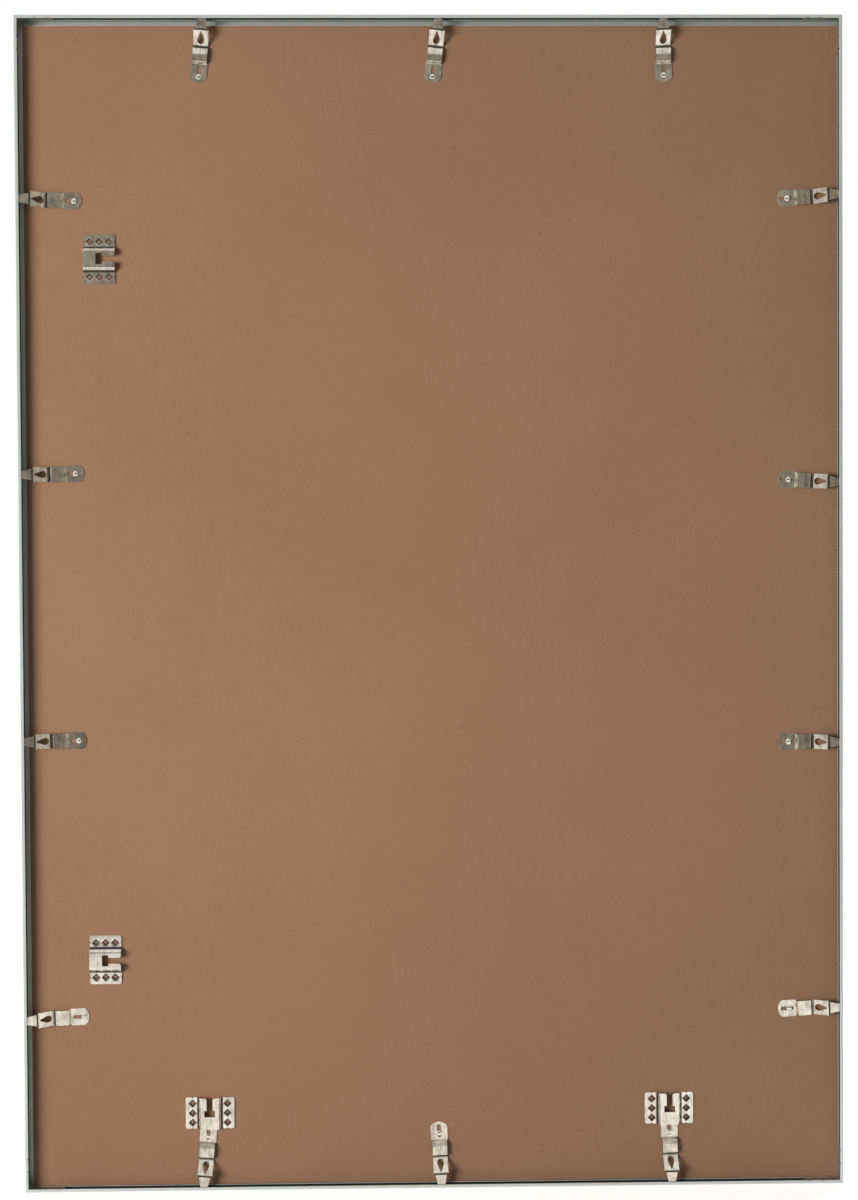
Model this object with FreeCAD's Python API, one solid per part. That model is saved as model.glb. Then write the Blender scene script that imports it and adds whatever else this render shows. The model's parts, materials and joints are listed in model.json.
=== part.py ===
# Aluminium picture frame in four mitred rails, with its glass, blank sheet and hardboard back.
# Sprung clips riveted to the board push under the rear flange of the rails, and stamped hangers
# carry the frame upright or on its side.
# Millimetres. The origin is the middle of the rear rim, in the plane that meets the wall. Seen from
# behind, +X is right and +Z is up; the glass faces +Y. Depths are measured along +Y from the rim.

import FreeCAD, Part
import math
import os

V = FreeCAD.Vector

# Sheet format that the frame takes, and the play around it
FORMAT_W = 700.0
FORMAT_H = 1000.0
SHEET_PLAY = 1.7

# Stack in the rails, from the rear flange to the front lip
CLIP_ROOM = 9.0
BOARD_T = 3.0
SHEET_T = 0.3
GLASS_T = 2.0

# Rail section
WALL_T = 1.3
FACE_W = 8.0
LIP_T = 1.4
FLANGE_T = 1.3
FLANGE_REACH = 1.5
RIB_T = 1.0
RIB_REACH = 1.5
CHANNEL_H = 6.6
FRONT_EDGE_R = 0.9
LIP_EDGE_R = 0.4
REAR_EDGE_R = 0.3
MITRE_GAP = 0.05

# Corner brackets, and the nicks that stake the rear flange onto them
BRACKET_LEG = 31.7
BRACKET_T = 1.3
BRACKET_BEND_R = 0.6
BRACKET_PLAY = 0.1
NICK_R = 0.8
NICK_PLACES = (18.0, 29.0)

# Trim of each sheet below the format, and where the pieces came to rest in the rails
BOARD_TRIM_W = 2.0
BOARD_TRIM_H = 3.0
BOARD_SHIFT_X = 1.35
BOARD_SHIFT_Z = -2.05
PANE_TRIM = 1.0
PANE_SHIFT_X = 0.6
PANE_SHIFT_Z = -0.9

# Spring clip. Its runs follow each other from the end of its pad to the tip of its tongue.
CLIP_T = 0.5
CLIP_GAP = 0.1
PAD_RUN = 15.5
RAMP_RUN = 1.9
BRIDGE_RUN = 10.9
FALL_RUN = 1.7
PLATE_RUN = 12.3
STEP_RUN = 1.6
TONGUE_RUN = 9.0

# How far the clip climbs in its ramp, at the crown and the end of its bridge, and how it ends: the
# drop after its peak, the climb along its tongue, and the play under the flange
RAMP_RISE = 2.7
CROWN_RISE = 3.5
FALL_RISE = 2.8
STEP_DROP = 1.1
TONGUE_CLIMB = 0.4
TONGUE_PLAY = 0.1
BEND_R = 0.7
CROWN_R = 14.0

# Outline of the clip, and the slot in its pad
PAD_W = 14.4
PAD_END_R = 9.2
PAD_END_DEG = 46.0
PAD_CORNER_R = 1.2
STRIP_W = 12.6
EAR_W = 13.5
TONGUE_ROOT_W = 9.6
TONGUE_TIP_W = 6.0
TIP_CORNER_R = 0.8
TIP_GAP = 0.4
SLOT_INSET = 2.3
SLOT_MARGIN = 1.8
SHANK_PLAY = 0.05

# Teardrop window in the clip's rising plate: its round end from the valley, and on to its point
WINDOW_AT = 5.0
WINDOW_RUN = 5.4
WINDOW_BIG_R = 2.95
WINDOW_SMALL_R = 0.8

# Rivet
SHANK_R = 1.6
HEAD_R = 2.45
HEAD_H = 1.1
HEAD_GAP = 0.1
DOME_RING_SHARES = (0.8, 0.45)
FOOT_R = 2.6
FOOT_T = 0.5
FOOT_GAP = 0.05

# Hanger: across the raised bridge from wing to wing, and along it
HANGER_T = 1.0
HANGER_W = 42.0
HANGER_L = 27.2
WING_W = 10.2
SLOPE_RUN = 3.5
BRIDGE_ROOM = 4.3
HANGER_BEND_R = 0.5
HANGER_CORNER_R = 1.8
NECK_W = 5.2
NECK_L = 10.8
NECK_MOUTH_R = 2.0
HEAD_HOLE_W = 9.4
HEAD_HOLE_L = 5.4
HEAD_HOLE_R = 0.4

# Burrs that clinch the hanger into the board: pierced squares that stand on a corner
BURR_PITCH = 8.25
BURR_INSET = 6.0
BURR_HALF = 2.7
BURR_TURN_DEG = 45.0
BURR_SINK = 0.5
BURR_SINK_GROW = 0.6
TOOTH_T = 0.8
TOOTH_L = 2.1
TOOTH_PLAY = 0.05

# Small round stretches repeat by the hundred, so each is drawn as chords of equal turn
ARC_STEP_DEG = 30.0

# One overrun for every cut
OVER = 2.0

# Outline of the frame, and depths of the stack
FRAME_W = FORMAT_W + 2 * (SHEET_PLAY + WALL_T)
FRAME_H = FORMAT_H + 2 * (SHEET_PLAY + WALL_T)
BOARD_BACK = FLANGE_T + CLIP_ROOM
BOARD_FRONT = BOARD_BACK + BOARD_T
GLASS_BACK = BOARD_FRONT + SHEET_T
GLASS_FRONT = GLASS_BACK + GLASS_T
DEPTH = GLASS_FRONT + LIP_T

# Places along the clip, and its height
RAMP_END = PAD_RUN + RAMP_RUN
BRIDGE_END = RAMP_END + BRIDGE_RUN
VALLEY_AT = BRIDGE_END + FALL_RUN
PEAK_AT = VALLEY_AT + PLATE_RUN
STEP_AT = PEAK_AT + STEP_RUN
CLIP_L = STEP_AT + TONGUE_RUN
TIP_RISE = CLIP_ROOM - CLIP_GAP - CLIP_T - TONGUE_PLAY
STEP_RISE = TIP_RISE - TONGUE_CLIMB
PEAK_RISE = STEP_RISE + STEP_DROP

# Round ends of the slot in its pad, and the corners of the rivet's many-sided foot
SLOT_R = SHANK_R + SHANK_PLAY
SLOT_FIRST = SLOT_INSET + SLOT_R
SLOT_LAST = PAD_RUN - SLOT_MARGIN - SLOT_R
FOOT_CORNER_R = FOOT_R / math.cos(math.radians(ARC_STEP_DEG / 2))

# Each side of the frame, by the direction that points out of it
SIDES = {"top": (0, 1), "bottom": (0, -1), "left": (-1, 0), "right": (1, 0)}

# Clips of each side: the place along it as a share of half the format, then where the rivet stands
# in its slot, as a share of the way from the pad's end towards the tongue
CLIP_SHARES = {
    "top": ((-0.565, 0.10), (0.007, 0.10), (0.575, 0.26)),
    "bottom": ((-0.562, 0.82), (0.009, 0.77), (0.581, 0.87)),
    "left": ((0.695, 0.35), (0.229, 0.46), (-0.230, 0.35), (-0.707, 0.04)),
    "right": ((0.697, 0.64), (0.213, 0.74), (-0.241, 0.68), (-0.705, 0.74)),
}

# Clips of a short side are named from left to right, and those of a long side are numbered downwards
CLIP_NAMES = {
    "top": ("left", "middle", "right"),
    "bottom": ("left", "middle", "right"),
    "left": ("1", "2", "3", "4"),
    "right": ("1", "2", "3", "4"),
}

# Lean of each clip in degrees, turned anticlockwise as seen from behind
CLIP_LEANS = {
    "top": (-5.1, -6.4, 2.0),
    "bottom": (-4.5, 2.3, 1.8),
    "left": (-0.8, 1.6, 0.2, 2.0),
    "right": (2.8, -3.7, 0.3, 3.0),
}

# Hangers: the side that they stand at, the direction that the notch opens to, the place along the
# side as a share of half the format, and how much farther in than a clip is long the middle stands
HANGER_SETBACK_LEFT = 16.4
HANGER_SETBACK_BOTTOM = 11.8
HANGER_SHARES = {
    "hanger_left_upper": ("left", (1, 0), 0.595),
    "hanger_left_lower": ("left", (1, 0), -0.609),
    "hanger_bottom_left": ("bottom", (0, 1), -0.557),
    "hanger_bottom_right": ("bottom", (0, 1), 0.580),
}
HANGER_SETBACKS = {"left": HANGER_SETBACK_LEFT, "bottom": HANGER_SETBACK_BOTTOM}


# Outlines

def chords(corner, back, ahead, radius):
    """Points of a round of the given radius at a corner, between the directions back to the last
    corner and ahead to the next: arc centre plus radius, turned in equal steps."""
    half = back.getAngle(ahead) / 2
    centre = corner + (back + ahead).normalize() * (radius / math.sin(half))
    first = corner + back * (radius / math.tan(half)) - centre
    turn = 180 - 2 * math.degrees(half)
    if back.cross(ahead).z > 0:
        turn = -turn
    steps = max(1, round(abs(turn) / ARC_STEP_DEG))
    spin = [FreeCAD.Rotation(V(0, 0, 1), turn * step / steps) for step in range(steps + 1)]
    return [centre + rotation.multVec(first) for rotation in spin]


def rounded_wire(corners, to_space):
    """Closed outline through corners (a, b, radius). Each corner is rounded by its own radius, and
    to_space puts a point (a, b) in space."""
    points = []
    for i, (a, b, radius) in enumerate(corners):
        corner = V(a, b, 0)
        if radius == 0:
            points.append(corner)
            continue
        back = (V(*corners[i - 1][:2], 0) - corner).normalize()
        ahead = (V(*corners[(i + 1) % len(corners)][:2], 0) - corner).normalize()
        points += chords(corner, back, ahead, radius)
    return closed([to_space(point.x, point.y) for point in points])


def closed(points):
    return Part.makePolygon(points + points[:1])


def ring(radius, height):
    """Corners of a level polygon that is drawn round a circle, so that the circle fits in it."""
    count = round(360 / ARC_STEP_DEG)
    corner_r = radius / math.cos(math.pi / count)
    turns = [2 * math.pi * step / count for step in range(count)]
    return [V(corner_r * math.cos(turn), corner_r * math.sin(turn), height) for turn in turns]


def round_post(radius, low, high):
    """Upright post over a ring."""
    return Part.Face(closed(ring(radius, low))).extrude(V(0, 0, high - low))


def stacked(rings):
    """Solid through level rings, the lowest first, with a flat side from each edge to the next
    ring's."""
    faces = [Part.Face(closed(rings[0][::-1])), Part.Face(closed(rings[-1]))]
    for low, high in zip(rings, rings[1:]):
        for i, corner in enumerate(low):
            j = (i + 1) % len(low)
            faces.append(Part.Face(closed([corner, low[j], high[j], high[i]])))
    return Part.Solid(Part.Shell(faces))


def prism(corners, to_space, direction):
    """Solid swept from a rounded outline along a direction."""
    return Part.Face(rounded_wire(corners, to_space)).extrude(direction)


def flat(a, b):
    return V(a, b, 0)


def mirrored(half):
    """Corners of one half of an outline, from end to end, followed by their mirror image in b = 0."""
    return list(half) + [(a, -b, radius) for a, b, radius in reversed(half)]


def bent_strip(path, thickness):
    """Corners of the section of a bent strip. The path runs along its middle through points
    (a, b, inner bend radius)."""
    count = len(path)
    points = [V(a, b, 0) for a, b, radius in path]
    sides = ([], [])
    for i, point in enumerate(points):
        into = (point - points[max(i - 1, 0)]) if i else (points[1] - point)
        out = (points[min(i + 1, count - 1)] - point) if i < count - 1 else into
        into.normalize()
        out.normalize()
        normal_in = V(-into.y, into.x, 0)
        normal_out = V(-out.y, out.x, 0)
        mitre = (normal_in + normal_out) * (1 / (1 + normal_in.dot(normal_out)))
        turns_left = into.cross(out).z > 0
        for side, sign in zip(sides, (1, -1)):
            radius = path[i][2]
            if radius and turns_left != (sign > 0):
                radius += thickness
            place = point + mitre * (sign * thickness / 2)
            side.append((place.x, place.y, radius))
    return sides[0] + sides[1][::-1]


def block(x, y, z):
    """Box between the two ends given for each direction."""
    corner = V(min(x), min(y), min(z))
    return Part.makeBox(max(x) - min(x), max(y) - min(y), max(z) - min(z), corner)


def put(shape, right, ahead, up, origin):
    """Shape moved so that its own X, Y and Z point along the three directions, from the origin."""
    matrix = FreeCAD.Matrix(
        right.x, ahead.x, up.x, origin.x,
        right.y, ahead.y, up.y, origin.y,
        right.z, ahead.z, up.z, origin.z,
        0, 0, 0, 1)
    moved = shape.copy()
    moved.Placement = FreeCAD.Placement(matrix).multiply(shape.Placement)
    return moved


def along(direction):
    """Direction in the plane of the frame, given as (x, z)."""
    return V(direction[0], 0, direction[1])


# Frame: rails and corner brackets

def side_size(side):
    """Length of a side, and the distance of its outer face from the middle of the frame."""
    lengths = (FRAME_W, FRAME_H) if SIDES[side][0] == 0 else (FRAME_H, FRAME_W)
    return lengths[0], lengths[1] / 2


def rail_section():
    """Corners of the section: inward from the outer face, and forward from the rear rim."""
    flange_end = WALL_T + FLANGE_REACH
    rib_end = WALL_T + RIB_REACH
    rib_back = FLANGE_T + CHANNEL_H
    return [
        (0, 0, REAR_EDGE_R),
        (flange_end, 0, REAR_EDGE_R),
        (flange_end, FLANGE_T, 0),
        (WALL_T, FLANGE_T, 0),
        (WALL_T, rib_back, 0),
        (rib_end, rib_back, 0),
        (rib_end, rib_back + RIB_T, 0),
        (WALL_T, rib_back + RIB_T, 0),
        (WALL_T, GLASS_FRONT, 0),
        (FACE_W, GLASS_FRONT, 0),
        (FACE_W, DEPTH, LIP_EDGE_R),
        (0, DEPTH, FRONT_EDGE_R),
    ]


def rail(side):
    """Extruded rail, mitred at both ends, with the staking nicks in the edge of its rear flange."""
    length, half_across = side_size(side)
    end = length / 2 - MITRE_GAP / 2
    bar = prism(rail_section(), flat, V(0, 0, length))
    bar.translate(V(0, 0, -length / 2))
    inner = FACE_W + OVER
    mitre = closed([V(-OVER, -OVER, end + OVER), V(-OVER, -OVER, -end - OVER),
                    V(inner, -OVER, inner - end), V(inner, -OVER, end - inner)])
    bar = bar.common(Part.Face(mitre).extrude(V(0, DEPTH + 2 * OVER, 0)))
    for place in NICK_PLACES:
        for sign in (1, -1):
            nick = round_post(NICK_R, -FLANGE_T - OVER, OVER)
            nick.rotate(V(0, 0, 0), V(1, 0, 0), 90)
            nick.translate(V(WALL_T + FLANGE_REACH, 0, sign * (length / 2 - place)))
            bar = bar.cut(nick)
    outward = along(SIDES[side])
    return put(bar, outward * -1, V(0, 1, 0), (outward * -1).cross(V(0, 1, 0)), outward * half_across)


def corner_bracket(sign_x, sign_z):
    """Strip bent to a right angle that lies on edge in the channels of two rails."""
    x = FRAME_W / 2 - WALL_T - BRACKET_PLAY - BRACKET_T / 2
    z = FRAME_H / 2 - WALL_T - BRACKET_PLAY - BRACKET_T / 2
    leg = BRACKET_LEG - BRACKET_T / 2
    path = [(sign_x * (x - leg), sign_z * z, 0),
            (sign_x * x, sign_z * z, BRACKET_BEND_R),
            (sign_x * x, sign_z * (z - leg), 0)]
    start = FLANGE_T + BRACKET_PLAY
    height = CHANNEL_H - 2 * BRACKET_PLAY
    return prism(bent_strip(path, BRACKET_T), lambda a, b: V(a, start, b), V(0, height, 0))


# Stack: glass, sheet and board

def sheet_between(trim_w, trim_h, shift_x, shift_z, back, front):
    """Flat sheet cut below the format, at rest beside the middle of the rails."""
    half_w = (FORMAT_W - trim_w) / 2
    half_h = (FORMAT_H - trim_h) / 2
    return block((shift_x - half_w, shift_x + half_w), (back, front),
                 (shift_z - half_h, shift_z + half_h))


def glass():
    return sheet_between(PANE_TRIM, PANE_TRIM, PANE_SHIFT_X, PANE_SHIFT_Z, GLASS_BACK, GLASS_FRONT)


def blank_sheet():
    return sheet_between(BOARD_TRIM_W, BOARD_TRIM_H, PANE_SHIFT_X, PANE_SHIFT_Z, BOARD_FRONT,
                         GLASS_BACK)


def back_board():
    """Hardboard with a stepped hole for each rivet and a pocket for each burr of the hangers."""
    board = sheet_between(BOARD_TRIM_W, BOARD_TRIM_H, BOARD_SHIFT_X, BOARD_SHIFT_Z, BOARD_BACK,
                          BOARD_FRONT)
    hole = round_post(SLOT_R, -BOARD_T - OVER, OVER)
    foot_room = round_post(FOOT_CORNER_R + FOOT_GAP, -BOARD_T - OVER,
                           FOOT_T + 2 * FOOT_GAP - BOARD_T)
    stepped = hole.fuse(foot_room)
    cuts = [place_rivet(stepped, seat) for seat in clip_seats()]
    half = BURR_HALF / math.sqrt(2) + TOOTH_T + TOOTH_PLAY
    pocket = Part.makeBox(2 * half, 2 * half, TOOTH_L + TOOTH_PLAY + OVER,
                          V(-half, -half, -TOOTH_L - TOOTH_PLAY))
    for name in HANGER_SHARES:
        for a, b in burr_places():
            turned = pocket.copy()
            turned.rotate(V(0, 0, 0), V(0, 0, 1), BURR_TURN_DEG)
            turned.translate(V(a, b, 0))
            cuts.append(place_hanger(turned, name))
    return board.cut(cuts)


# Spring clips and rivets

def clip_seats():
    """Every clip in turn: its name, rivet centre on the board's back, direction from pad to tongue,
    the distance from the end of its pad to the rivet, and how far it can draw back."""
    seats = []
    travel = SLOT_LAST - SLOT_FIRST
    for side, rows in CLIP_SHARES.items():
        out = SIDES[side]
        length, half_across = side_size(side)
        half_along = (FORMAT_W if out[0] == 0 else FORMAT_H) / 2
        for name, (place_share, slot_share), lean in zip(CLIP_NAMES[side], rows, CLIP_LEANS[side]):
            turn = math.radians(lean)
            points = V(out[0] * math.cos(turn) - out[1] * math.sin(turn), 0,
                       out[0] * math.sin(turn) + out[1] * math.cos(turn))
            pad_behind = SLOT_FIRST + slot_share * travel
            corner = TONGUE_TIP_W / 2 * abs(math.sin(turn))
            reach = (CLIP_L - pad_behind) * math.cos(turn) + corner + TIP_GAP
            across = along(out) * (half_across - WALL_T - reach)
            rivet = across + V(abs(out[1]), 0, abs(out[0])) * (place_share * half_along)
            seats.append({"name": f"{side}_{name}", "rivet": rivet + V(0, BOARD_BACK, 0),
                          "points": points, "pad_behind": pad_behind,
                          "draw_back": (1 - slot_share) * travel})
    return seats


def clip_outline():
    """Plan of the clip: a pad with a bowed end, a narrower strip, ears at the peak and a tapered
    tongue."""
    half_pad = PAD_W / 2
    half_turn = math.radians(PAD_END_DEG)
    apex = -PAD_END_R * (1 / math.sin(half_turn) - 1)
    corner_at = apex + half_pad / math.tan(half_turn)
    shoulder = PAD_RUN + (PAD_W - STRIP_W) / 2
    flare_at = PEAK_AT - (EAR_W - STRIP_W) * 2
    tongue_at = PEAK_AT + (EAR_W - TONGUE_ROOT_W) / 2
    half = [
        (corner_at, half_pad, PAD_CORNER_R),
        (PAD_RUN, half_pad, 0),
        (shoulder, STRIP_W / 2, 0),
        (flare_at, STRIP_W / 2, 0),
        (PEAK_AT, EAR_W / 2, TIP_CORNER_R),
        (tongue_at, TONGUE_ROOT_W / 2, 0),
        (CLIP_L, TONGUE_TIP_W / 2, TIP_CORNER_R),
    ]
    return [(apex, 0, PAD_END_R)] + mirrored(half)


def clip_path():
    """Middle of the strip seen from the side: pad, ramp, bowed bridge, valley on the board, rising
    plate, peak, step and tongue."""
    ground = CLIP_GAP + CLIP_T / 2
    return [
        (-OVER, ground, 0),
        (PAD_RUN, ground, BEND_R),
        (RAMP_END, ground + RAMP_RISE, BEND_R),
        ((RAMP_END + BRIDGE_END) / 2, ground + CROWN_RISE, CROWN_R),
        (BRIDGE_END, ground + FALL_RISE, BEND_R),
        (VALLEY_AT, ground, BEND_R),
        (PEAK_AT, ground + PEAK_RISE, BEND_R),
        (STEP_AT, ground + STEP_RISE, BEND_R),
        (CLIP_L + OVER, ground + TIP_RISE, 0),
    ]


def teardrop(big_at, big_r, small_at, small_r, depth):
    """Prism over the outline of two circles on the clip's axis and their common tangents. Each end
    is drawn round its circle, from one tangent to the other."""
    tangent = math.degrees(math.acos((big_r - small_r) / (small_at - big_at)))
    points = []
    for at, radius, start, turn in ((big_at, big_r, tangent, 360 - 2 * tangent),
                                    (small_at, small_r, -tangent, 2 * tangent)):
        steps = round(turn / ARC_STEP_DEG)
        corner_r = radius / math.cos(math.radians(turn / steps / 2))
        for step in range(steps):
            angle = math.radians(start + turn * (step + 0.5) / steps)
            points.append(V(at + corner_r * math.cos(angle), corner_r * math.sin(angle), 0))
    return Part.Face(closed(points)).extrude(V(0, 0, depth))


def flat_clip_spring():
    """Clip in its own place: along X from the end of its pad, on the board at Z = 0."""
    strip = prism(bent_strip(clip_path(), CLIP_T), lambda a, b: V(a, -PAD_W / 2 - OVER, b),
                  V(0, PAD_W + 2 * OVER, 0))
    tall = PEAK_RISE + 2 * OVER
    plan = prism(clip_outline(), flat, V(0, 0, tall))
    slot = teardrop(SLOT_FIRST, SLOT_R, SLOT_LAST, SLOT_R, tall)
    window_at = VALLEY_AT + WINDOW_AT
    window = teardrop(window_at, WINDOW_BIG_R, window_at + WINDOW_RUN, WINDOW_SMALL_R, tall)
    return strip.common(plan).cut([slot, window])


def place_clip(shape, seat):
    """Clip moved onto its rivet and turned towards its side of the frame."""
    up = V(0, -1, 0)
    points = seat["points"]
    return put(shape, points, up.cross(points), up, seat["rivet"] - points * seat["pad_behind"])


def place_rivet(shape, seat):
    """Rivet, or the hole for it, moved to its place with its head to the rear."""
    up = V(0, -1, 0)
    return put(shape, seat["points"], up.cross(seat["points"]), up, seat["rivet"])


def flat_rivet():
    """Rivet in its own place: a low domed head over the clip, a round shank, and a foot that is let
    into the board's front. The dome's rings follow a ball through its rim and its top."""
    foot_low = FOOT_GAP - BOARD_T
    head_low = CLIP_GAP + CLIP_T + HEAD_GAP
    ball_r = (HEAD_R ** 2 + HEAD_H ** 2) / (2 * HEAD_H)
    rings = [ring(HEAD_R, head_low)]
    for share in DOME_RING_SHARES:
        drop = ball_r - math.sqrt(ball_r ** 2 - (share * HEAD_R) ** 2)
        rings.append(ring(share * HEAD_R, head_low + HEAD_H - drop))
    foot = round_post(FOOT_R, foot_low, foot_low + FOOT_T)
    shank = Part.makeCylinder(SHANK_R, head_low - foot_low, V(0, 0, foot_low))
    return shank.fuse([foot, stacked(rings)]).removeSplitter()


# Hangers

def burr_places():
    """Centres of the burrs, three on each wing."""
    burr_at = HANGER_W / 2 - BURR_INSET
    return [(sign * burr_at, step * BURR_PITCH) for sign in (1, -1) for step in (-1, 0, 1)]


def burr_teeth(a, b):
    """Four pointed teeth turned down from the sides of a pierced square."""
    side = BURR_HALF / math.sqrt(2)
    tooth = Part.Face(closed([V(side, -side, 0), V(side, side, 0), V(side, 0, -TOOTH_L)]))
    teeth = []
    for quarter in range(4):
        turned = tooth.extrude(V(TOOTH_T, 0, 0))
        turned.rotate(V(0, 0, 0), V(0, 0, 1), BURR_TURN_DEG + quarter * 90)
        turned.translate(V(a, b, 0))
        teeth.append(turned)
    return teeth


def burr_opening(a, b):
    """Pierced square whose upper edge is drawn in."""
    drawn = BURR_HALF + BURR_SINK_GROW
    grow = drawn + BURR_SINK_GROW * OVER / BURR_SINK
    levels = ((BURR_HALF, -OVER), (BURR_HALF, HANGER_T - BURR_SINK), (grow, HANGER_T + OVER))
    return stacked([[V(a + half, b, height), V(a, b + half, height), V(a - half, b, height),
                     V(a, b - half, height)] for half, height in levels])


def flat_hanger():
    """Hanger in its own place: its bridge runs along Y, open at +Y, and its wings lie on Z = 0."""
    wing_end = HANGER_W / 2
    wing_start = wing_end - WING_W
    ground = HANGER_T / 2
    lifted = ground + BRIDGE_ROOM
    half_path = [
        (wing_end, ground, 0),
        (wing_start, ground, HANGER_BEND_R),
        (wing_start - SLOPE_RUN, lifted, HANGER_BEND_R),
    ]
    path = half_path + [(-a, b, radius) for a, b, radius in reversed(half_path)]
    half_l = HANGER_L / 2
    sheet = prism(bent_strip(path, HANGER_T), lambda a, b: V(a, -half_l - OVER, b),
                  V(0, HANGER_L + 2 * OVER, 0))
    tall = lifted + OVER
    neck_low = half_l - NECK_L
    hole_low = neck_low - HEAD_HOLE_L
    plan = [
        (wing_end, -half_l, HANGER_CORNER_R),
        (wing_end, half_l, HANGER_CORNER_R),
        (NECK_W / 2, half_l, NECK_MOUTH_R),
        (NECK_W / 2, neck_low, 0),
        (HEAD_HOLE_W / 2, neck_low, HEAD_HOLE_R),
        (HEAD_HOLE_W / 2, hole_low, HEAD_HOLE_R),
        (-HEAD_HOLE_W / 2, hole_low, HEAD_HOLE_R),
        (-HEAD_HOLE_W / 2, neck_low, HEAD_HOLE_R),
        (-NECK_W / 2, neck_low, 0),
        (-NECK_W / 2, half_l, NECK_MOUTH_R),
        (-wing_end, half_l, HANGER_CORNER_R),
        (-wing_end, -half_l, HANGER_CORNER_R),
    ]
    hanger = sheet.common(prism(plan, flat, V(0, 0, tall)))
    openings = []
    teeth = []
    for a, b in burr_places():
        openings.append(burr_opening(a, b))
        teeth += burr_teeth(a, b)
    return hanger.cut(openings).fuse(teeth).removeSplitter()


def place_hanger(shape, name):
    """Hanger moved to its place on the back of the board, notch towards its open direction."""
    side, opens, place_share = HANGER_SHARES[name]
    out = SIDES[side]
    length, half_across = side_size(side)
    half_along = (FORMAT_W if out[0] == 0 else FORMAT_H) / 2
    inset = half_across - CLIP_L - HANGER_SETBACKS[side]
    across = V(abs(out[1]), 0, abs(out[0])) * (place_share * half_along)
    centre = along(out) * inset + across + V(0, BOARD_BACK, 0)
    up = V(0, -1, 0)
    ahead = along(opens)
    return put(shape, ahead.cross(up), ahead, up, centre)


# Nodes

def nodes():
    """Every piece of the frame by its name."""
    made = {}
    for side in SIDES:
        made[f"rail_{side}"] = rail(side)
    for upright, sign_z in (("top", 1), ("bottom", -1)):
        for level, sign_x in (("left", -1), ("right", 1)):
            made[f"corner_bracket_{upright}_{level}"] = corner_bracket(sign_x, sign_z)
    made["glass"] = glass()
    made["blank_sheet"] = blank_sheet()
    made["back_board"] = back_board()
    spring = flat_clip_spring()
    pin = flat_rivet()
    for seat in clip_seats():
        made[f"clip_{seat['name']}"] = place_clip(spring, seat)
        made[f"rivet_{seat['name']}"] = place_rivet(pin, seat)
    hanger = flat_hanger()
    for name in HANGER_SHARES:
        made[name] = place_hanger(hanger, name)
    return made


def main():
    os.makedirs("parts", exist_ok=True)
    for seat in clip_seats():
        print(f"{seat['name']}: rivet {seat['pad_behind']:.2f} from the pad's end, clip draws back "
              f"{seat['draw_back']:.2f}")
    for name, shape in nodes().items():
        shape.exportStep(f"parts/{name}.step")
        print(f"{name}: solids {len(shape.Solids)}, valid {shape.isValid()}, "
              f"volume {shape.Volume:.1f}")


if __name__ == "__main__":
    main()
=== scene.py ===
# %% [markdown]
# The back of an aluminium picture frame.
#
# The real thing is a picture frame seen from its back: four mitred rails of satin aluminium, a brown
# hardboard, fourteen nickel-plated spring clips that push under the rim of the rails, and four
# stamped hangers. The CAD model gives every piece its place, its size and the way it moves.
#
# Here each visible piece gets its finish. Rails, clips, rivets and hangers have soft bends and
# worn edges that a coarse CAD mesh can't show, so they are worked out again as smooth surfaces in
# the same places. The board, the sheet, the glass and the corner brackets are flat in reality too,
# so their CAD meshes stay, and only their materials change.

import json
import math

import bmesh
import bpy
import numpy as np
from mathutils import Matrix, Vector


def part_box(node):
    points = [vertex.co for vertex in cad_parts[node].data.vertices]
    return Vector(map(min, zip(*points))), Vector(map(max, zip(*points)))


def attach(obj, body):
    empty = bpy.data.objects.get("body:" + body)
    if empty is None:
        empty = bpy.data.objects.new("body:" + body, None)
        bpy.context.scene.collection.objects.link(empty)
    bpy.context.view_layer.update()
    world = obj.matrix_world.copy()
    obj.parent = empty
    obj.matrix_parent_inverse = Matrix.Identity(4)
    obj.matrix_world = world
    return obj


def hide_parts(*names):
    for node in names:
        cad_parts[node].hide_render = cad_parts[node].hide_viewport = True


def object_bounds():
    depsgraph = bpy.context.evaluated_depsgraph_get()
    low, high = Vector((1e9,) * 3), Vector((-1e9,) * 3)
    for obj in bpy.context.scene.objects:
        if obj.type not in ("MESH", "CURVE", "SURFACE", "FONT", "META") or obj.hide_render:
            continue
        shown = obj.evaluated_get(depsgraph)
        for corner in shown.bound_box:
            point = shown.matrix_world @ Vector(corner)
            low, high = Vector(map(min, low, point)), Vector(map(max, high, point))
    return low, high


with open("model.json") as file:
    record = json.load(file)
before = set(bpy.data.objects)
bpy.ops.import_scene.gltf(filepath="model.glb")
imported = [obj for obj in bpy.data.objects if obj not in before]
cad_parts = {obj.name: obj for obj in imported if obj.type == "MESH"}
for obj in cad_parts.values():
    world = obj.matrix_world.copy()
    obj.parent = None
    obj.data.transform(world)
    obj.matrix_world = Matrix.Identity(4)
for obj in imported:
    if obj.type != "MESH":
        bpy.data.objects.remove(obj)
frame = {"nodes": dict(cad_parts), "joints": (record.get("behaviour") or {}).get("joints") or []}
cad_low, cad_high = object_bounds()
MM = 0.001
print("CAD box in mm:", [round(value / MM, 1) for value in (*cad_low, *cad_high)])

# %% [markdown]
# The camera comes first, because every later choice is judged through it.
#
# The photograph was taken with the frame upright, from about 1.6 m, so the lens sees a little of
# the inner sides of the rails. The place and the small turns below put the frame's corners on the
# photograph's corners. A camera starts out looking down, so it is first stood up to look along +Y,
# then rolled about Y, pitched about X and turned about Z. In a product of matrices the last one acts
# first, so they stand the other way round. The focal length is known in pixels, and Blender wants
# millimetres: the 36 mm of the sensor span the longer side of the picture, its 1200 pixels.

# %% Camera
PHOTO_HEIGHT = 1200
FOCAL_PIXELS = 1867
SENSOR = 36
CAMERA_AT = Vector((-33.1, -1599.2, 38.3)) * MM
CAMERA_TURNS = {"Z": -1.07, "X": -1.213, "Y": 0.327}

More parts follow.
